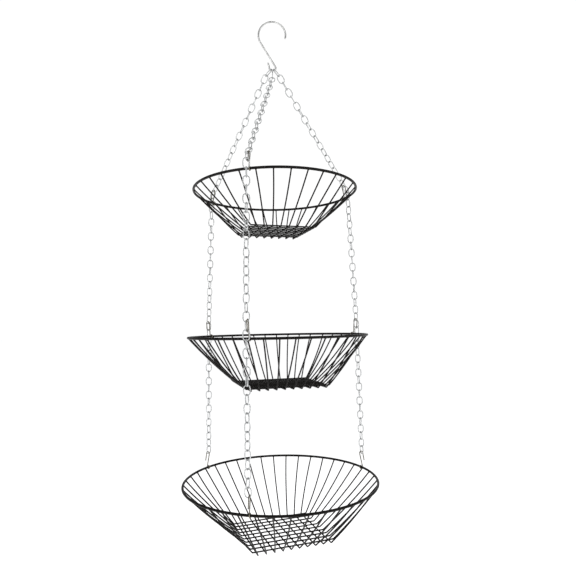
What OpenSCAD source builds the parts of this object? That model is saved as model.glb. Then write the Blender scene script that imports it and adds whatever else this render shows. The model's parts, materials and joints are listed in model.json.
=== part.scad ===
// Hanging wire basket with three tiers: three round wire baskets hung one below
// another on three chains from one S-shaped hook. Millimetres, +Z up. The origin
// is the saddle of the hook, the underside of its upper bend, where it hangs.

/* [Hook] */
// Diameter of the hook's wire
hook_wire_d = 2.8; // [2.4:0.1:3.2]
// Radius of the upper bend, to the middle of the wire
hook_top_r = 21.5; // [18:0.5:24]
// Radius of the lower bend that carries the chains
hook_low_r = 5; // [4.8:0.1:5.6]
// Height from the centre of the upper bend to the centre of the lower bend
hook_drop = 52; // [46:1:60]
// Length of the short leg that closes the lower bend
hook_short_leg = 10; // [4:1:14]

/* [Chain] */
// Diameter of the link wire
link_wire_d = 1.6; // [1.4:0.1:1.8]
// Outer width of one link
link_w = 10.6; // [10:0.1:11.4]
// Links from one basket's pivot to the next
links_per_tier = 19; // [18:1:19]
// Link below which each basket's clip is hooked, counted from the tier's top
clip_link = 17; // [16:1:17]
// Free gap between the wires of two linked links
link_gap = 0.2; // [0.15:0.05:0.3]
// Distance from a rim's middle line out to the chain that passes it
chain_clear = 7.8; // [7.6:0.1:9]

/* [Clip] */
// Diameter of the clip wire
clip_wire_d = 1.6; // [1.4:0.1:1.6]
// Radius of the clip's upper bend, to the middle of the wire
clip_top_r = 3.2; // [3:0.1:3.2]
// Length of the clip's free leg
clip_free_leg = 14; // [8:1:15]

/* [Baskets] */
// Height from one rim to the next
tier_pitch = 228.6; // [220:0.2:240]
// Depth of the top rim below the saddle of the hook
top_rim_z = 268; // [260:1:280]
// Diameter of the rim wire
rim_wire_d = 3.8; // [3.4:0.1:4.2]
// Diameter of the basket wires
mesh_wire_d = 2.2; // [1.8:0.1:2.4]
// Distance between neighbouring wires of the flat bottom
mesh_pitch = 12.7; // [12:0.1:13]
// Distance from the last crossing to the bend where a bottom wire turns up
bend_out = 5; // [4:0.5:6]
// Radius of that bend, to the middle of the wire
bend_r = 3; // [2.5:0.5:5]
// Outward bow of the sloping wires, as the angle at their ends, in degrees
leg_bow = 4.5; // [2:0.5:6]
// Diameter of the top basket, across the middle of its rim
top_d = 254; // [250:1:256]
// Depth of the top basket
top_depth = 65; // [60:1:70]
// Diameter of the middle basket
middle_d = 279.4; // [276:1:282]
// Depth of the middle basket
middle_depth = 77; // [72:1:82]
// Diameter of the bottom basket
bottom_d = 304.8; // [300:1:308]
// Depth of the bottom basket
bottom_depth = 83; // [78:1:88]

/* [Hidden] */
$fn = 48;
hook_r = hook_wire_d / 2;
link_r = link_wire_d / 2;
clip_r = clip_wire_d / 2;
rim_r = rim_wire_d / 2;
mesh_r = mesh_wire_d / 2;

// gap that keeps neighbouring wires of one basket from sharing material
weld_gap = 0.08;
// a bend is this much stouter than the straight wire, whose ends lie this far inside it
bend_swell = 0.03;
lap = 0.3;

// The hook's wire: angle and length of its open tip, and turn of its lower bend
hook_flare = -12;
hook_tip = 2;
hook_low_turn = 198;

// A link: radius of its round ends, and distance from a contact to either wire
link_bend = link_w / 2 - link_r;
link_hold = link_r + link_gap / 2;
// the links on the hook: distance from upper wire to contact, and room to swing
first_pitch = 12;
first_slack = 0.4;
// height of each tier's last link, which hangs plumb
plumb_link = 12;
// room where the sloping chain turns into that link
plumb_slack = 0.35;
// depth of each pivot below its rim
pivot_drop = 1;
// where the lowest chains end: outside the bottom rim and above it
bottom_contact_out = 0.5;
bottom_contact_up = 24;

// The clip's wire: flare of its free leg, turn and end of the curl round the rim,
// free gap to the rim, and sideways place beside the next link on the same wire
clip_flare = 12;
clip_curl = 285;
clip_end = 0.5;
clip_gap = 0.15;
clip_shift = 2.05;

// The three chains: their names, their places round the rim, and the lean of
// their first links in the plane of the hook.
SIDES = ["right", "rear", "front"];
CHAIN_ANGLES = [25, 146, 255];
FIRST_LEANS = [38, -42, -2];

// The baskets: rim radius, depth, wires in each direction, angle between wire
// ends on the rim, and the turn of the square bottom.
RIM_RADII = [top_d / 2, middle_d / 2, bottom_d / 2];
DEPTHS = [top_depth, middle_depth, bottom_depth];
WIRE_COUNTS = [8, 10, 10];
END_ANGLES = [10.95, 8.85, 9];
TURNS = [17, 15.5, 19.5];

// ---- Places on the chains ----

// middle of the hook's upper bend, and of its lower bend
hook_top_z = hook_r - hook_top_r;
hook_low_z = hook_top_z - hook_drop;

function rim_z(tier) = -top_rim_z - tier * tier_pitch;
function around(radius, angle, z) = [radius * cos(angle), radius * sin(angle), z];

// distance from the middle of the hook's lower bend to the upper wire of a first link
first_ring = hook_low_r - hook_r - link_gap - link_r;
// a point straight along a first link, measured from the middle of that bend
function along_first(side, reach) =
    [reach * sin(FIRST_LEANS[side]), 0, hook_low_z - reach * cos(FIRST_LEANS[side])];

// contact where the chain of the tier below begins to swing, just outside a rim
function pivot(tier, side) =
    around(RIM_RADII[tier] + chain_clear, CHAIN_ANGLES[side], rim_z(tier) - pivot_drop);

// A chain runs straight down to its last link, which hangs plumb outside the rim. The
// lowest chain has no such link, and runs straight to the clips above the bottom rim.
function run_links(tier) = tier < 2 ? links_per_tier - 1 : clip_link;
function run_start(tier, side) =
    tier == 0 ? along_first(side, first_ring + first_pitch + link_hold) : pivot(tier - 1, side);
function run_end(tier, side) = tier < 2 ? pivot(tier, side) + [0, 0, plumb_link]
    : around(RIM_RADII[2] + bottom_contact_out, CHAIN_ANGLES[side], rim_z(2) + bottom_contact_up);
function contact(tier, side, i) = i > run_links(tier) ? pivot(tier, side)
    : run_start(tier, side) + (run_end(tier, side) - run_start(tier, side)) * i / run_links(tier);

// Direction of the wire plane of a link, in degrees round the vertical, counted from
// the first link of the top tier. Neighbours stand square to each other but for a slow
// twist, which turns every link that carries a clip to face its basket.
twist_per_link = (links_per_tier % 2 == 1 ? 90 : 180) / links_per_tier;
function half_turn(angle) = (angle + 90) % 180 - 90;
function link_yaw(side, n) =
    n < clip_link ? n * (90 + half_turn(CHAIN_ANGLES[side] + 90 * (clip_link % 2)) / (clip_link - 1))
    : CHAIN_ANGLES[side] + 90 + (n - clip_link + 1) * (90 + twist_per_link);

// ---- Wire shapes ----

// one oval link hung at the origin, its next contact at [0, 0, -pitch]
module link(pitch) {
    straight = pitch + 2 * link_hold - 2 * link_bend;
    translate([0, 0, link_hold - link_bend]) {
        rotate([90, 0, 0]) rotate_extrude(angle = 180) translate([link_bend, 0]) circle(r = link_r);
        for (x = [-link_bend, link_bend])
            translate([x, 0, -straight]) cylinder(h = straight, r = link_r);
        translate([0, 0, -straight]) rotate([-90, 0, 0]) rotate_extrude(angle = 180)
            translate([link_bend, 0]) circle(r = link_r);
    }
}

// one link between two contacts, its wire plane turned to yaw
module link_between(a, b, yaw) {
    run = b - a;
    pitch = norm(run);
    azimuth = atan2(-run[1], -run[0]);
    tilt = acos(-run[2] / pitch);
    color([0.78, 0.78, 0.76])
    translate(a) rotate([0, tilt, azimuth]) rotate([0, 0, yaw - azimuth]) link(pitch);
}

// links of a tier, from index first to index last
module links(tier, side, first, last) {
    for (i = [first:last]) {
        slack = i == run_links(tier) ? plumb_slack : 0;
        link_between(contact(tier, side, i) + [0, 0, slack], contact(tier, side, i + 1),
            link_yaw(side, i + tier * links_per_tier));
    }
}

// wire bent like an S in the XZ plane: a bend over the origin, a straight shank, and a
// bend the other way round a point straight below, each with a straight leg
module s_wire(wire_r, top_r, low_r, drop, tip_angle, tip_leg, low_turn, low_leg) {
    lean = asin((top_r + low_r) / drop);
    shank = sqrt(drop * drop - pow(top_r + low_r, 2));
    rotate([90, 0, 0]) {
        rotate([0, 0, tip_angle]) {
            rotate_extrude(angle = 180 + lean - tip_angle)
                translate([top_r, 0]) circle(r = wire_r + bend_swell);
            translate([top_r, lap]) rotate([90, 0, 0]) cylinder(h = tip_leg + lap, r = wire_r);
        }
        rotate([0, 0, lean]) translate([-top_r, lap]) rotate([90, 0, 0])
            cylinder(h = shank + 2 * lap, r = wire_r);
        translate([0, -drop]) rotate([0, 0, lean - low_turn]) {
            rotate_extrude(angle = low_turn) translate([low_r, 0]) circle(r = wire_r + bend_swell);
            translate([low_r, lap]) rotate([90, 0, 0]) cylinder(h = low_leg + lap, r = wire_r);
        }
    }
}

// ---- Pieces ----

module hook() {
    color([0.82, 0.82, 0.8])
    translate([0, 0, hook_top_z])
    s_wire(hook_r, hook_top_r, hook_low_r, hook_drop, hook_flare, hook_tip,
        hook_low_turn, hook_short_leg);
}

module first_link(side) {
    link_between(along_first(side, first_ring + link_hold),
        along_first(side, first_ring + first_pitch + link_hold + first_slack), 90);
}

// clip bent from wire: hooked over the lower end of a link, and curled round the rim
module clip(tier, side) {
    angle = CHAIN_ANGLES[side];
    above = contact(tier, side, clip_link - 1);
    below = contact(tier, side, clip_link);
    // the link's wire rises from its middle to where the clip sits beside it
    rise = link_bend - sqrt(link_bend * link_bend - clip_shift * clip_shift);
    hang = below + (below - above) / norm(below - above) * (link_hold - rise);
    hang_r = hang[0] * cos(angle) + hang[1] * sin(angle);
    hang_side = hang[1] * cos(angle) - hang[0] * sin(angle) + clip_shift;
    out = hang_r - RIM_RADII[tier];
    up = hang[2] - rim_z(tier);
    curl_r = rim_r + clip_r + clip_gap;
    color([0.72, 0.66, 0.5])
    rotate([0, 0, angle]) translate([hang_r, hang_side, hang[2]]) rotate([0, atan2(out, up), 0])
    s_wire(clip_r, clip_top_r, curl_r, norm([out, up]), clip_flare, clip_free_leg, clip_curl, clip_end);
}

module rim(tier) {
    color([0.06, 0.06, 0.06])
    translate([0, 0, rim_z(tier)])
    rotate_extrude($fn = 180) translate([RIM_RADII[tier], 0]) circle(r = rim_r);
}

// one end of a basket wire in its own plane: the bend, and the bowed leg up to the rim
module wire_leg(flat, out, up) {
    turn = atan2(up, out - flat) - leg_bow;
    bend_x = flat + bend_r * sin(turn);
    bend_z = bend_r * (1 - cos(turn));
    half_sweep = atan2(up - bend_z, out - bend_x) - turn;
    leg_r = norm([out - bend_x, up - bend_z]) / (2 * sin(half_sweep));
    start = lap / leg_r * 180 / PI;
    cut = (rim_r + weld_gap) / leg_r * 180 / PI;
    rotate([90, 0, 0]) {
        translate([flat, bend_r]) rotate([0, 0, -90]) rotate_extrude(angle = turn)
            translate([bend_r, 0]) circle(r = mesh_r + bend_swell);
        translate([bend_x - leg_r * sin(turn), bend_z + leg_r * cos(turn)])
            rotate([0, 0, turn - 90 - start])
            rotate_extrude(angle = start + 2 * half_sweep - cut, $fn = 360)
            translate([leg_r, 0]) circle(r = mesh_r);
    }
}

// one direction of a basket's wires; the over set lies across the under set
module wires(tier, over) {
    n = WIRE_COUNTS[tier];
    lift = over ? mesh_wire_d + weld_gap : 0;
    flat = mesh_pitch * (n - 1) / 2 + bend_out;
    color([0.05, 0.05, 0.05])
    translate([0, 0, rim_z(tier)]) rotate([0, 0, TURNS[tier] + (over ? 0 : 90)])
    for (j = [0:n - 1]) {
        place = (j - (n - 1) / 2) * mesh_pitch;
        end = (j - (n - 1) / 2) * END_ANGLES[tier];
        rim_y = RIM_RADII[tier] * sin(end);
        rim_x = RIM_RADII[tier] * cos(end);
        depth = DEPTHS[tier] - lift;
        up = norm([depth, rim_y - place]);
        translate([0, place, -depth]) rotate([-atan2(rim_y - place, depth), 0, 0]) {
            rotate([0, 90, 0]) cylinder(h = 2 * (flat + lap), r = mesh_r, center = true);
            wire_leg(flat, rim_x, up);
            mirror([1, 0, 0]) wire_leg(flat, rim_x, up);
        }
    }
}

hook();
for (side = [0:2]) {
    name = SIDES[side];
    end = clip_link - 1;
    last = links_per_tier - 1;
    first_link(side);
    links(0, side, 0, last);
    links(1, side, 0, 0);
    links(1, side, 1, end - 1);
    links(1, side, end, end);
    links(1, side, clip_link, last);
    links(2, side, 0, 0);
    links(2, side, 1, end - 1);
    links(2, side, end, end);
    clip(0, side);
    clip(1, side);
    clip(2, side);
}
rim(0);  // top_rim
wires(0, false);  // top_wires_under
wires(0, true);  // top_wires_over
rim(1);  // middle_rim
wires(1, false);  // middle_wires_under
wires(1, true);  // middle_wires_over
rim(2);  // bottom_rim
wires(2, false);  // bottom_wires_under
wires(2, true);  // bottom_wires_over
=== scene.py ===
import json
import bpy
import numpy as np
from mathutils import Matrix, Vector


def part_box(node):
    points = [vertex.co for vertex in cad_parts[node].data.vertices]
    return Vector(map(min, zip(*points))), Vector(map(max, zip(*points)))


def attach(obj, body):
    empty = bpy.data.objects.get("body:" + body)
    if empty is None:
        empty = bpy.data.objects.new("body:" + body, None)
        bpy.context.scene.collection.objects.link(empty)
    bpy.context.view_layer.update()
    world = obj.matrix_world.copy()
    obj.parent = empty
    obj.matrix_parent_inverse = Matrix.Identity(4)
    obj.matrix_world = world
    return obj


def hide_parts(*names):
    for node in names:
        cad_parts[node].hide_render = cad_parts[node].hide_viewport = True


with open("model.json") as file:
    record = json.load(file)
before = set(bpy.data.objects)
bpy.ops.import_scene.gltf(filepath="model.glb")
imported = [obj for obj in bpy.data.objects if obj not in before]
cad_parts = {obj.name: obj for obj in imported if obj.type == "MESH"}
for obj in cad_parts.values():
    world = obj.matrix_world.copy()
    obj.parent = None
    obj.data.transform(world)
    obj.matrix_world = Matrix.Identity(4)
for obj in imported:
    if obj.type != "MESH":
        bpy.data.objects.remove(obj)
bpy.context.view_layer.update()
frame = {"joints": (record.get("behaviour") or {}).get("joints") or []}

# ---- Camera, floor and light ----
# The baskets hang free above a pale floor in a white studio. Broad soft lamps stand
# in front on both sides, one hangs overhead, and a weaker one lights the back.
eye = bpy.data.objects.new("eye", bpy.data.cameras.new("eye"))
eye.data.lens = 31.7
eye.data.sensor_width = 36
eye.data.shift_y = 0.064
eye.location = (0.0165, -0.804, -0.4793)
eye.rotation_euler = (np.pi / 2, np.radians(1.12), 0)
bpy.context.collection.objects.link(eye)
bpy.context.scene.camera = eye
bpy.context.scene.view_settings.view_transform = "Standard"


def surface(name, grids, finish, loop_along=False, loop_round=False, capped=False, lengths=None,
            marks=None):
    """One mesh from k grids of n by m points. Quads join each point to its neighbours along and
    round the grid, and its last row or column back to the first where it is a loop. Capped
    grids get one flat face at either end. The UV map holds the length along, in metres, and
    the share of a turn round. marks is a value for each row, kept as a point attribute that
    darkens plated wire: real wear on the hook and clips, painted shade where chain links meet."""
    k, n, m = grids.shape[:3]
    corner = np.arange(k * n * m).reshape(k, n, m)
    rows = np.concatenate([corner, corner[:, :1]], 1) if loop_along else corner
    rows = np.concatenate([rows, rows[:, :, :1]], 2) if loop_round else rows
    quads = np.stack([rows[:, :-1, :-1], rows[:, :-1, 1:], rows[:, 1:, 1:], rows[:, 1:, :-1]], -1)
    if lengths is None:
        lengths = np.linspace(0, 1, rows.shape[1])
    u = np.broadcast_to(np.asarray(lengths)[..., :, None], rows.shape)
    v = np.broadcast_to(np.linspace(0, 1, rows.shape[2]), rows.shape)
    uv = np.stack([u, v], -1)
    uv = np.stack([uv[:, :-1, :-1], uv[:, :-1, 1:], uv[:, 1:, 1:], uv[:, 1:, :-1]], -2)
    ends = np.concatenate([corner[:, 0, ::-1], corner[:, -1]]) if capped else np.zeros((0, m), int)
    corners = np.concatenate([quads.ravel(), ends.ravel()])
    sizes = np.concatenate([np.full(quads.size // 4, 4), np.full(len(ends), m)])
    mesh = bpy.data.meshes.new(name)
    mesh.vertices.add(k * n * m)
    mesh.vertices.foreach_set("co", grids.reshape(-1).astype(np.float32))
    mesh.loops.add(len(corners))
    mesh.loops.foreach_set("vertex_index", corners.astype(np.int32))
    mesh.polygons.add(len(sizes))
    mesh.polygons.foreach_set("loop_start", (np.cumsum(sizes) - sizes).astype(np.int32))
    mesh.update(calc_edges=True)
    mesh.polygons.foreach_set("use_smooth", np.ones(len(sizes), bool))
    layer = mesh.uv_layers.new(name="along_and_round")
    layer.data.foreach_set(
        "uv", np.concatenate([uv.ravel(), np.zeros(2 * ends.size)]).astype(np.float32))
    if marks is not None:
        worn = mesh.attributes.new("worn", "FLOAT", "POINT")
        worn.data.foreach_set(
            "value", np.broadcast_to(marks[..., None], (k, n, m)).reshape(-1).astype(np.float32))
    mesh.validate()
    if capped:
        mesh.set_sharp_from_angle(angle=np.radians(50))
    mesh.materials.append(finish)
    piece = bpy.data.objects.new(name, mesh)
    bpy.context.collection.objects.link(piece)
    return piece


def finish_nodes(name):
    """A new material's nodes, its links and its shader."""
    finish = bpy.data.materials.new(name)
    finish.use_nodes = True
    tree = finish.node_tree
    return finish, tree.nodes, tree.links, tree.nodes["Principled BSDF"]


floor_paint, nodes, links, shader = finish_nodes("pale_floor_paint")
shader.inputs["Roughness"].default_value = 0.9
shader.inputs["Specular IOR Level"].default_value = 0.1
shader.inputs["Emission Color"].default_value = (1, 1, 1, 1)
shader.inputs["Emission Strength"].default_value = 0.74
places = nodes.new("ShaderNodeTexCoord")
mottle = nodes.new("ShaderNodeTexNoise")
mottle.inputs["Scale"].default_value = 0.8
shade = nodes.new("ShaderNodeMix")
shade.data_type = "RGBA"
shade.inputs[6].default_value = (0.93, 0.93, 0.925, 1)
shade.inputs[7].default_value = (0.95, 0.95, 0.95, 1)
links.new(places.outputs["Object"], mottle.inputs["Vector"])
links.new(mottle.outputs["Fac"], shade.inputs[0])
links.new(shade.outputs[2], shader.inputs["Base Color"])

# a round floor: point(r, a) = (r cos a, r sin a, height)
floor_r = np.array([0.01, 1, 3, 8, 20, 60])[:, None]
floor_a = np.linspace(0, 2 * np.pi, 48, endpoint=False)
floor_grid = np.stack(
    [floor_r * np.cos(floor_a), floor_r * np.sin(floor_a), np.full((6, 48), -1.45)], -1)
floor = surface("floor", floor_grid[None, ::-1], floor_paint, loop_round=True)

world = bpy.data.worlds.new("studio")
bpy.context.scene.world = world
world.use_nodes = True
sky_nodes, sky_links = world.node_tree.nodes, world.node_tree.links
wall = sky_nodes["Background"]
wall.inputs["Color"].default_value = (1, 1, 1, 1)
wall.inputs["Strength"].default_value = 1.05
dim = sky_nodes.new("ShaderNodeBackground")
dim.inputs["Color"].default_value = (0.97, 0.98, 1, 1)
dim.inputs["Strength"].default_value = 0.3
seen = sky_nodes.new("ShaderNodeLightPath")
either = sky_nodes.new("ShaderNodeMixShader")
sky_links.new(seen.outputs["Is Camera Ray"], either.inputs[0])
sky_links.new(dim.outputs[0], either.inputs[1])
sky_links.new(wall.outputs[0], either.inputs[2])
sky_links.new(either.outputs[0], sky_nodes["World Output"].inputs["Surface"])

for lamp, power, size, place, aim in (
    ("lamp_left", 17, 1.3, (-1.9, -1.7, 0.5), (0, 0, -0.45)),
    ("lamp_right", 8, 1.3, (2.1, -1.3, 0.1), (0, 0, -0.45)),
    ("lamp_above", 14, 1.8, (0.2, -0.2, 1.6), (0, 0, -0.45)),
    ("lamp_behind", 7, 1.6, (0.5, 2.4, 0.4), (0, 0, -0.45)),
):
    light = bpy.data.lights.new(lamp, "AREA")
    light.energy = power
    light.shape = "DISK"
    light.size = size
    stand = bpy.data.objects.new(lamp, light)
    away = np.subtract(place, aim)
    flat = np.hypot(away[0], away[1])
    stand.location = place
    stand.rotation_euler = (np.arctan2(flat, away[2]), 0, np.arctan2(away[0], -away[1]))
    bpy.context.collection.objects.link(stand)

# ---- Ceiling hook ----
# One length of round steel wire, bent cold into an S: a wide open bend above that goes
# over the ceiling hook, and a tight one below that carries the chains. Bright plated.
hook_wire_r = 0.0014
hook_bends = dict(top_r=0.0215, low_r=0.005, drop=0.052, tip_angle=-12, tip_leg=0.002,
                  low_turn=198, low_leg=0.010)


def s_line(s, top_r, low_r, drop, tip_angle, tip_leg, low_turn, low_leg):
    """Centre line of a wire bent like an S, at lengths s from its tip, in its own plane: a
    straight tip, an arc round the origin, a straight shank on the two arcs' common tangent, an
    arc the other way round (0, -drop), and a straight leg."""
    lean = np.arcsin((top_r + low_r) / drop)
    tip, low = np.radians(tip_angle), lean - np.radians(low_turn)
    shank = np.sqrt(drop ** 2 - (top_r + low_r) ** 2)
    parts = np.array([tip_leg, top_r * (np.pi + lean - tip), shank, low_r * (lean - low)])
    past = s - np.concatenate([[0], np.cumsum(parts)])[:, None]
    top_turn = tip + past[1] / top_r
    low_turned = lean - past[3] / low_r
    here = [s < c for c in np.cumsum(parts)]
    x = np.select(here, [
        top_r * np.cos(tip) + (tip_leg - s) * np.sin(tip), top_r * np.cos(top_turn),
        -top_r * np.cos(lean) + past[2] * np.sin(lean), low_r * np.cos(low_turned)],
        low_r * np.cos(low) + past[4] * np.sin(low))
    z = np.select(here, [
        top_r * np.sin(tip) - (tip_leg - s) * np.cos(tip), top_r * np.sin(top_turn),
        -top_r * np.sin(lean) - past[2] * np.cos(lean), low_r * np.sin(low_turned) - drop],
        low_r * np.sin(low) - past[4] * np.cos(low) - drop)
    return np.stack([x, z], -1)


def s_length(top_r, low_r, drop, tip_angle, tip_leg, low_turn, low_leg):
    """Whole length of that wire: its two straight ends, its two arcs and its shank."""
    lean = np.arcsin((top_r + low_r) / drop)
    return (tip_leg + top_r * (np.pi + lean - np.radians(tip_angle))
            + np.sqrt(drop ** 2 - (top_r + low_r) ** 2) + low_r * np.radians(low_turn) + low_leg)


def wire(line, radius, side, turns=8, loop=False):
    """Round wire: point(u, v) = line(u) + radius(u) (cos v across(u) + sin v side), where across
    is square to side and to the run of the line at u."""
    ahead = np.roll(line, -1, -2) if loop else line[..., 1:, :]
    step = ahead - (line if loop else line[..., :-1, :])
    step = step / np.linalg.norm(step, axis=-1, keepdims=True)
    if loop:
        run = step + np.roll(step, 1, -2)
    else:
        run = np.concatenate(
            [step[..., :1, :], step[..., 1:, :] + step[..., :-1, :], step[..., -1:, :]], -2)
    run = run / np.linalg.norm(run, axis=-1, keepdims=True)
    side = np.broadcast_to(side, run.shape)
    across = np.cross(side, run)
    v = np.linspace(0, 2 * np.pi, turns, endpoint=False)[:, None]
    radius = np.broadcast_to(radius, run.shape[:-1])[..., None, None]
    return (line[..., None, :]
            + radius * (np.cos(v) * across[..., None, :] + np.sin(v) * side[..., None, :]))


def cut_ends(s, length, radius):
    """Radius of a wire whose cut ends are dulled: it falls by a third over half a radius."""
    inward = np.clip(np.minimum(s, length - s) / (0.5 * radius), 0, 1)
    return radius * (1 - 0.34 * (1 - inward) ** 2)


def stations(length, count, radius):
    """Lengths along a wire: evenly spaced, and closer together at its two cut ends."""
    near = radius * np.array([0, 0.12, 0.3, 0.5])
    return np.concatenate([near, np.linspace(0, length, count + 1)[1:-1], length - near[::-1]])


def plated(name, pale, dull, rough, blotch, scratch):
    """Plated wire: two greys mixed by soft blotches, a roughness that follows them, darker where
    the mesh's darkening attribute is high (real wear on the hook and clips, painted shade where
    chain links meet), and fine die lines drawn out along the wire on its UV map."""
    finish, nodes, links, shader = finish_nodes(name)
    shader.inputs["Metallic"].default_value = 1.0
    places = nodes.new("ShaderNodeTexCoord")
    blotches = nodes.new("ShaderNodeTexNoise")
    blotches.inputs["Scale"].default_value = blotch
    blotches.inputs["Detail"].default_value = 4
    links.new(places.outputs["Object"], blotches.inputs["Vector"])
    tone = nodes.new("ShaderNodeValToRGB")
    tone.color_ramp.elements[0].position = 0.35
    tone.color_ramp.elements[0].color = (*dull, 1)
    tone.color_ramp.elements[1].position = 0.62
    tone.color_ramp.elements[1].color = (*pale, 1)
    links.new(blotches.outputs["Fac"], tone.inputs["Fac"])
    # the point attribute darkens the wire: real wear on the hook and clips, painted shade where
    # chain links meet
    worn = nodes.new("ShaderNodeAttribute")
    worn.attribute_name = "worn"
    rub_and_painted_shade = nodes.new("ShaderNodeMix")
    rub_and_painted_shade.data_type = "RGBA"
    rub_and_painted_shade.inputs[7].default_value = (*[0.45 * c for c in dull], 1)
    links.new(worn.outputs["Fac"], rub_and_painted_shade.inputs[0])
    links.new(tone.outputs["Color"], rub_and_painted_shade.inputs[6])
    links.new(rub_and_painted_shade.outputs[2], shader.inputs["Base Color"])
    gloss = nodes.new("ShaderNodeMapRange")
    gloss.inputs["From Min"].default_value = 0.3
    gloss.inputs["From Max"].default_value = 0.7
    gloss.inputs["To Min"].default_value = rough + 0.12
    gloss.inputs["To Max"].default_value = rough - 0.04
    links.new(blotches.outputs["Fac"], gloss.inputs["Value"])
    links.new(gloss.outputs["Result"], shader.inputs["Roughness"])
    stretch = nodes.new("ShaderNodeMapping")
    stretch.inputs["Scale"].default_value = (160, 14, 1)
    links.new(places.outputs["UV"], stretch.inputs["Vector"])
    lines = nodes.new("ShaderNodeTexNoise")
    lines.inputs["Scale"].default_value = 1
    lines.inputs["Detail"].default_value = 3
    links.new(stretch.outputs["Vector"], lines.inputs["Vector"])
    bump = nodes.new("ShaderNodeBump")
    bump.inputs["Strength"].default_value = scratch
    bump.inputs["Distance"].default_value = 0.00012
    links.new(lines.outputs["Fac"], bump.inputs["Height"])
    links.new(bump.outputs["Normal"], shader.inputs["Normal"])
    return finish


bright_plating = plated("bright_plating", (0.76, 0.76, 0.75), (0.56, 0.56, 0.55), 0.34, 160, 0.4)
hook_long = s_length(**hook_bends)
hook_s = stations(hook_long, 110, hook_wire_r)
hook_flat = s_line(hook_s, **hook_bends)
hook_line = np.stack([hook_flat[:, 0], 0 * hook_s,
                      hook_flat[:, 1] + hook_wire_r - hook_bends["top_r"]], -1)
# the plating wears thin at the crown, where the hook hangs
crown_turn = np.radians(90 - hook_bends["tip_angle"])
crown = hook_s - hook_bends["tip_leg"] - hook_bends["top_r"] * crown_turn
hook_worn = 0.75 * np.exp(-(crown / 0.005) ** 2) * (np.sin(hook_s * 900) > -0.6)
ceiling_hook = surface(
    "ceiling_hook", wire(hook_line[None], cut_ends(hook_s, hook_long, hook_wire_r), [0, 1, 0], 14),
    bright_plating, loop_round=True, capped=True, lengths=hook_s, marks=hook_worn[None])
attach(ceiling_hook, "hook")
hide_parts("hook")

# ---- Links on the hook ----
# Three oval links of zinc-plated wire, one for each chain, hung side by side in the hook's
# low bend and spread where their chains pull them. Each is bent from wire and butt-welded.
link_wire_r, link_bend, link_hold, link_pitch = 0.0008, 0.0045, 0.0009, 0.012
link_play = 0.0002
# a link's 12 places round: 6 on its upper half circle and 6 on its lower one
link_round = np.concatenate([np.linspace(0, np.pi, 6), np.linspace(np.pi, 2 * np.pi, 6)])
SIDES = ("right", "rear", "front")
pins = {j["name"]: np.array(j["pos_m"]) for j in frame["joints"]}


def link_grids(top, foot, yaw):
    """Oval links between contacts top and foot: two half circles joined by straight sides, in a
    plane turned by yaw about the chain, swept with a round wire of 6 sides."""
    run = top - foot
    pitch = np.linalg.norm(run, axis=1)
    up = run / pitch[:, None]
    azimuth = np.arctan2(up[:, 1], up[:, 0])
    tilt = np.arccos(np.clip(up[:, 2], -1, 1))
    turn = np.radians(yaw) - azimuth
    e1 = np.stack(
        [np.cos(tilt) * np.cos(azimuth), np.cos(tilt) * np.sin(azimuth), -np.sin(tilt)], -1)
    e2 = np.stack([-np.sin(azimuth), np.cos(azimuth), 0 * azimuth], -1)
    wide = np.cos(turn)[:, None] * e1 + np.sin(turn)[:, None] * e2
    side = np.cos(turn)[:, None] * e2 - np.sin(turn)[:, None] * e1
    drop = np.where(np.arange(12) < 6, 0, 1) * (pitch + 2 * link_hold - 2 * link_bend)[:, None]
    height = link_hold - link_bend + link_bend * np.sin(link_round) - drop
    line = (top[:, None] + link_bend * np.cos(link_round)[:, None] * wide[:, None]
            + height[..., None] * up[:, None])
    return wire(line, link_wire_r, side[:, None], 6, loop=True)


def hang_links(name, top, foot, yaw, body, node):
    """Links as one piece on a body, in place of their CAD node."""
    # painted shade: each link is darkened at the top and bottom of its bends, where it meets the
    # next link, standing in for the dark reflections there
    painted_contact_shade = np.broadcast_to(0.55 * np.abs(np.sin(link_round)) ** 6, (len(top), 12))
    lengths = (np.linspace(0, 2 * np.pi * link_bend + link_pitch, 13)
               + 0.05 * np.arange(len(top))[:, None])
    piece = surface(name, link_grids(top, foot, yaw), zinc_plating, loop_along=True,
                    loop_round=True, lengths=lengths, marks=painted_contact_shade)
    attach(piece, body)
    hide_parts(node)


zinc_plating = plated("zinc_plating", (0.72, 0.73, 0.73), (0.52, 0.53, 0.53), 0.4, 420, 0.35)
low_bend = pins["swing_sideways"]
ring = hook_bends["low_r"] - hook_wire_r - link_play - link_wire_r
leans = np.radians([38, -42, -2])
spread = np.stack([np.sin(leans), 0 * leans, -np.cos(leans)], -1)
hung_top = low_bend + (ring + link_hold) * spread
hung_foot = low_bend + (ring + link_hold + link_pitch + 2 * link_play) * spread
chain_top = low_bend + (ring + link_hold + link_pitch) * spread
for i, name in enumerate(SIDES):
    hang_links("hung_link_" + name, hung_top[i:i + 1], hung_foot[i:i + 1], np.array([90.0]),
               "hook_links", "first_link_" + name)

# ---- Chains ----
# Oval links of bright zinc-plated wire, each square to the next but for a slow twist. Each
# chain runs straight from rim to rim and ends in a plumb link outside the rim.
tier_links, clip_link = 19, 17
plumb_slack = 0.00035
pivots = np.array([[pins[t + "_links_front_to_back_" + s] for s in SIDES]
                   for t in ("middle", "lower")])
angles = np.degrees(np.arctan2(pivots[0, :, 1], pivots[0, :, 0])) % 360
last_foot = np.array([pins["lower_end_sideways_" + s] for s in SIDES])
last_foot = last_foot + (last_foot - pivots[1]) / (clip_link - 1)


def yaws(side, n):
    """Turn of the plane of link n of a chain, in degrees: a quarter turn a link and a slow twist
    more, so that each link that carries a clip faces its basket."""
    angle = angles[side]
    twist = (angle + 90 + 90) % 180 - 90
    before = n * (90 + twist / (clip_link - 1))
    after = angle + 90 + (n - clip_link + 1) * (90 + 90 / tier_links)
    return np.where(n < clip_link, before, after) + 2.5 * np.sin(2.4 * n + side)


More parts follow.
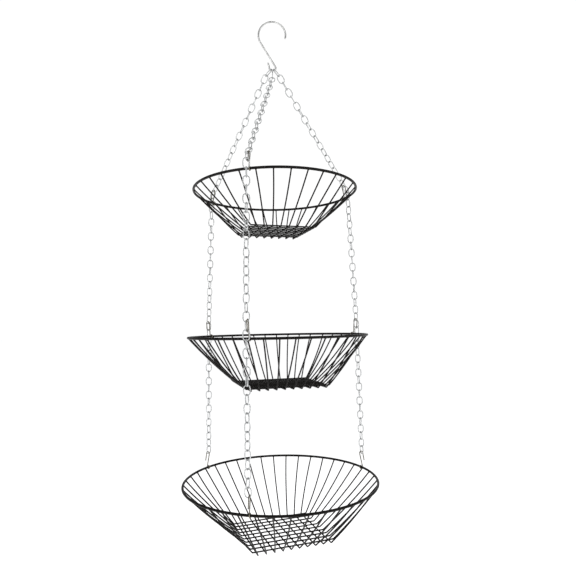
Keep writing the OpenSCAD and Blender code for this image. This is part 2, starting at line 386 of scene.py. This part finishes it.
def contacts(tier, side):
    """Points where a chain's links meet: evenly spaced down a straight run, and in the two upper
    tiers one more at the foot of the plumb link."""
    start = chain_top[side] if tier == 0 else pivots[tier - 1, side]
    if tier == 2:
        return start + (last_foot[side] - start) * np.linspace(0, 1, clip_link + 1)[:, None]
    foot = pivots[tier, side]
    share = np.linspace(0, 1, tier_links)[:, None]
    run = start + (foot + [0, 0, link_pitch] - start) * share
    return np.concatenate([run, foot[None]])


for side, name in enumerate(SIDES):
    for tier, (first, last, piece, body, node) in [
        (0, (0, 18, "upper_links_", "top_basket", "upper_chain_")),
        (1, (0, 0, "middle_top_link_", "middle_pivot_link_", "middle_pivot_link_")),
        (1, (1, 15, "middle_links_", "middle_chain_", "middle_chain_")),
        (1, (16, 16, "middle_foot_link_", "middle_end_link_", "middle_end_link_")),
        (1, (17, 18, "middle_tail_", "middle_basket", "middle_tail_links_")),
        (2, (0, 0, "lower_top_link_", "lower_pivot_link_", "lower_pivot_link_")),
        (2, (1, 15, "lower_links_", "lower_chain_", "lower_chain_")),
        (2, (16, 16, "lower_foot_link_", "lower_end_link_", "lower_end_link_")),
    ]:
        points = contacts(tier, side)
        top, foot = points[first:last + 1].copy(), points[first + 1:last + 2]
        if last == 18:
            top[-1, 2] += plumb_slack
        n = np.arange(first, last + 1) + tier * tier_links
        hang_links(piece + name, top, foot, yaws(side, n),
                   body if body.endswith("basket") else body + name, node + name)

# ---- Rims ----
# A ring of stout round wire for each basket, its ends butt-welded so that a low flash stands
# round the joint, then dipped with the whole basket in a semi-gloss black coating.
rim_wire_r = 0.0019
BASKETS = ("top", "middle", "bottom")
rim_boxes = [np.array(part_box(b + "_rim")) for b in BASKETS]
rim_radii = [(b[1, 0] - b[0, 0]) / 2 - rim_wire_r for b in rim_boxes]
rim_heights = [(b[1, 2] + b[0, 2]) / 2 for b in rim_boxes]

black_coat, nodes, links, shader = finish_nodes("black_coat")
shader.inputs["Coat Weight"].default_value = 0.03
shader.inputs["Coat Roughness"].default_value = 0.22
shader.inputs["Specular IOR Level"].default_value = 0.09
places = nodes.new("ShaderNodeTexCoord")
cloud = nodes.new("ShaderNodeTexNoise")
cloud.inputs["Scale"].default_value = 55
cloud.inputs["Detail"].default_value = 5
links.new(places.outputs["Object"], cloud.inputs["Vector"])
tone = nodes.new("ShaderNodeValToRGB")
tone.color_ramp.elements[0].position = 0.3
tone.color_ramp.elements[0].color = (0.003, 0.0025, 0.0025, 1)
tone.color_ramp.elements[1].position = 0.7
tone.color_ramp.elements[1].color = (0.009, 0.0075, 0.006, 1)
links.new(cloud.outputs["Fac"], tone.inputs["Fac"])
specks = nodes.new("ShaderNodeTexVoronoi")
specks.inputs["Scale"].default_value = 420
links.new(places.outputs["Object"], specks.inputs["Vector"])
dust = nodes.new("ShaderNodeMapRange")
dust.inputs["From Min"].default_value = 0.16
dust.inputs["From Max"].default_value = 0.05
dust.inputs["To Max"].default_value = 0.12
links.new(specks.outputs["Distance"], dust.inputs["Value"])
dusty = nodes.new("ShaderNodeMix")
dusty.data_type = "RGBA"
dusty.inputs[7].default_value = (0.06, 0.052, 0.045, 1)
links.new(dust.outputs["Result"], dusty.inputs[0])
links.new(tone.outputs["Color"], dusty.inputs[6])
links.new(dusty.outputs[2], shader.inputs["Base Color"])
gloss = nodes.new("ShaderNodeMapRange")
gloss.inputs["To Min"].default_value = 0.46
gloss.inputs["To Max"].default_value = 0.3
links.new(cloud.outputs["Fac"], gloss.inputs["Value"])
links.new(gloss.outputs["Result"], shader.inputs["Roughness"])
peel = nodes.new("ShaderNodeTexNoise")
peel.inputs["Scale"].default_value = 1100
peel.inputs["Detail"].default_value = 2
links.new(places.outputs["Object"], peel.inputs["Vector"])
bump = nodes.new("ShaderNodeBump")
bump.inputs["Strength"].default_value = 0.3
bump.inputs["Distance"].default_value = 0.00008
links.new(peel.outputs["Fac"], bump.inputs["Height"])
links.new(bump.outputs["Normal"], shader.inputs["Normal"])

for tier, basket in enumerate(BASKETS):
    joint = np.radians(200 + 35 * tier)
    turn = np.sort(np.concatenate([
        np.linspace(0, 2 * np.pi, 168, endpoint=False),
        joint + np.array([-0.02, -0.013, -0.008, -0.004, 0.0005, 0.005, 0.009, 0.014, 0.021])]))
    off = (turn - joint) * rim_radii[tier]
    rim_line = np.stack([rim_radii[tier] * np.cos(turn), rim_radii[tier] * np.sin(turn),
                         np.full(turn.shape, rim_heights[tier])], -1)
    flash = 1 + 0.09 * np.exp(-(off / 0.0009) ** 2)
    ring_grid = wire(rim_line[None], rim_wire_r * flash, [0, 0, 1], 16, loop=True)
    rim = surface(basket + "_rim_ring", ring_grid, black_coat, loop_along=True, loop_round=True,
                  lengths=rim_radii[tier] * np.append(turn, turn[0] + 2 * np.pi))
    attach(rim, basket + "_basket")
    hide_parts(basket + "_rim")

# ---- Basket wires ----
# Two sets of thinner wires laid square across each other, flat in the middle of the bottom and
# bent up to the rim, where their ends are butt-welded. Every crossing is spot-welded.
basket_wire_r, wire_pitch, bend_out, turn_up_r = 0.0011, 0.0127, 0.005, 0.003
basket_depths = (0.065, 0.077, 0.083)
wire_counts = (8, 10, 10)
end_angles = (10.95, 8.85, 9)
bottom_turns = (17, 15.5, 19.5)
lift = 2 * basket_wire_r + 0.00008
rim_lap = 0.0004
bow = np.radians(4.5)
crossing_bead, rim_bead = (0.00142, 0.001), (0.0015, 0.0015)


def basket_lines(tier, over):
    """Centre lines of one set of wires: half of each is a flat run, an arc that turns it up and a
    long arc that bows out to the rim, all in one plane leaned towards its place on the rim."""
    n = wire_counts[tier]
    j = np.arange(n) - (n - 1) / 2
    place, end = j * wire_pitch, np.radians(j * end_angles[tier])
    rim_x, rim_y = rim_radii[tier] * np.cos(end), rim_radii[tier] * np.sin(end)
    depth = basket_depths[tier] - (lift if over else 0)
    high = np.hypot(depth, rim_y - place)
    flat = wire_pitch * (n - 1) / 2 + bend_out
    turn = np.arctan2(high, rim_x - flat) - bow
    bend_x, bend_z = flat + turn_up_r * np.sin(turn), turn_up_r * (1 - np.cos(turn))
    sweep = np.arctan2(high - bend_z, rim_x - bend_x) - turn
    leg_r = np.hypot(rim_x - bend_x, high - bend_z) / (2 * np.sin(sweep))
    ends = 2 * sweep - (rim_wire_r - rim_lap) / leg_r
    bend = turn[:, None] * np.linspace(0, 1, 7)
    leg = turn[:, None] + ends[:, None] * np.linspace(0, 1, 13)[1:]
    x = np.concatenate([
        flat + turn_up_r * np.sin(bend),
        bend_x[:, None] + leg_r[:, None] * (np.sin(leg) - np.sin(turn)[:, None])], 1)
    h = np.concatenate([
        turn_up_r * (1 - np.cos(bend)),
        bend_z[:, None] + leg_r[:, None] * (np.cos(turn)[:, None] - np.cos(leg))], 1)
    x = np.concatenate([-x[:, ::-1], np.zeros((n, 1)), x], 1)
    h = np.concatenate([h[:, ::-1], np.zeros((n, 1)), h], 1)
    lean = np.arctan2(rim_y - place, depth)[:, None]
    y, z = place[:, None] + h * np.sin(lean), h * np.cos(lean) - depth
    return x, y, z, np.stack([0 * lean, np.cos(lean), -np.sin(lean)], -1)


def turned(points, degrees):
    """The same points turned about the vertical."""
    a = np.radians(degrees)
    return points @ np.array([[np.cos(a), np.sin(a), 0], [-np.sin(a), np.cos(a), 0], [0, 0, 1]])


def beads(centres, wide, high):
    """Small weld beads: point(u, v) = centre + (wide cos u cos v, wide cos u sin v, high sin u)."""
    u = np.radians([-62, -30, 0, 30, 62])[:, None]
    v = np.linspace(0, 2 * np.pi, 7, endpoint=False)
    shape = np.stack([np.cos(u) * np.cos(v) * wide, np.cos(u) * np.sin(v) * wide,
                      np.sin(u) * high * np.ones(7)], -1)
    return centres[:, None, None] + shape


for tier, basket in enumerate(BASKETS):
    rim_ends = []
    for over, kind in ((False, "under"), (True, "over")):
        x, y, z, side = basket_lines(tier, over)
        degrees = bottom_turns[tier] + (0 if over else 90)
        line = turned(np.stack([x, y, z], -1), degrees) + [0, 0, rim_heights[tier]]
        side = turned(side, degrees)
        length = np.cumsum(np.linalg.norm(np.diff(line, axis=1, prepend=line[:, :1]), axis=2), 1)
        wires = surface(basket + "_" + kind + "_wires", wire(line, basket_wire_r, side, 8),
                        black_coat, loop_round=True, capped=True, lengths=length)
        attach(wires, basket + "_basket")
        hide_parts(basket + "_wires_" + kind)
        rim_ends += [line[:, 0], line[:, -1]]
    n = wire_counts[tier]
    place = (np.arange(n) - (n - 1) / 2) * wire_pitch
    across, along = np.meshgrid(place, place)
    floor_z = rim_heights[tier] - basket_depths[tier] + lift / 2
    crossings = turned(np.stack([across, along, 0 * across], -1).reshape(-1, 3), bottom_turns[tier])
    crossings = crossings + [0, 0, floor_z]
    rim_ends = np.concatenate(rim_ends)
    welds = surface(basket + "_welds", np.concatenate([
        beads(crossings, *crossing_bead), beads(rim_ends, *rim_bead)]),
        black_coat, loop_round=True, capped=True)
    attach(welds, basket + "_basket")

# ---- Clips ----
# Nine hairpins of brass-tinted plated wire. Each hangs over the foot of a link, its inner leg
# curled round under the rim and its outer leg left splayed and free outside it.
clip_wire_r, clip_top_r, clip_aside = 0.0008, 0.0032, 0.00205
curl_room = 0.00015
curl_r = rim_wire_r + clip_wire_r + curl_room
brass_tint = plated("brass_tinted_plating", (0.27, 0.25, 0.20), (0.10, 0.09, 0.07), 0.36, 260, 0.4)
for tier, basket in enumerate(BASKETS):
    for side, name in enumerate(SIDES):
        points = contacts(tier, side)
        above, below = points[clip_link - 1], points[clip_link]
        rise = link_bend - np.sqrt(link_bend ** 2 - clip_aside ** 2)
        hang = below + (below - above) / np.linalg.norm(below - above) * (link_hold - rise)
        a = np.radians(angles[side])
        outward = np.array([np.cos(a), np.sin(a), 0])
        sideways = np.array([-np.sin(a), np.cos(a), 0])
        out, up = hang @ outward - rim_radii[tier], hang[2] - rim_heights[tier]
        bends = dict(top_r=clip_top_r, low_r=curl_r, drop=np.hypot(out, up), tip_angle=12,
                     tip_leg=0.014, low_turn=285, low_leg=0.0005)
        long = s_length(**bends)
        s = stations(long, 60, clip_wire_r)
        flat = s_line(s, **bends)
        lean = np.arctan2(out, up)
        wide = np.cos(lean) * outward - np.sin(lean) * np.array([0, 0, 1])
        tall = np.sin(lean) * outward + np.cos(lean) * np.array([0, 0, 1])
        line = hang + clip_aside * sideways + flat[:, :1] * wide + flat[:, 1:] * tall
        ends_worn = np.exp(-s / 0.0016) * 0.9
        clip = surface(basket + "_hairpin_" + name,
                       wire(line[None], cut_ends(s, long, clip_wire_r), sideways, 10), brass_tint,
                       loop_round=True, capped=True, lengths=s, marks=ends_worn[None])
        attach(clip, basket + "_basket")
        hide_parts(basket + "_clip_" + name)
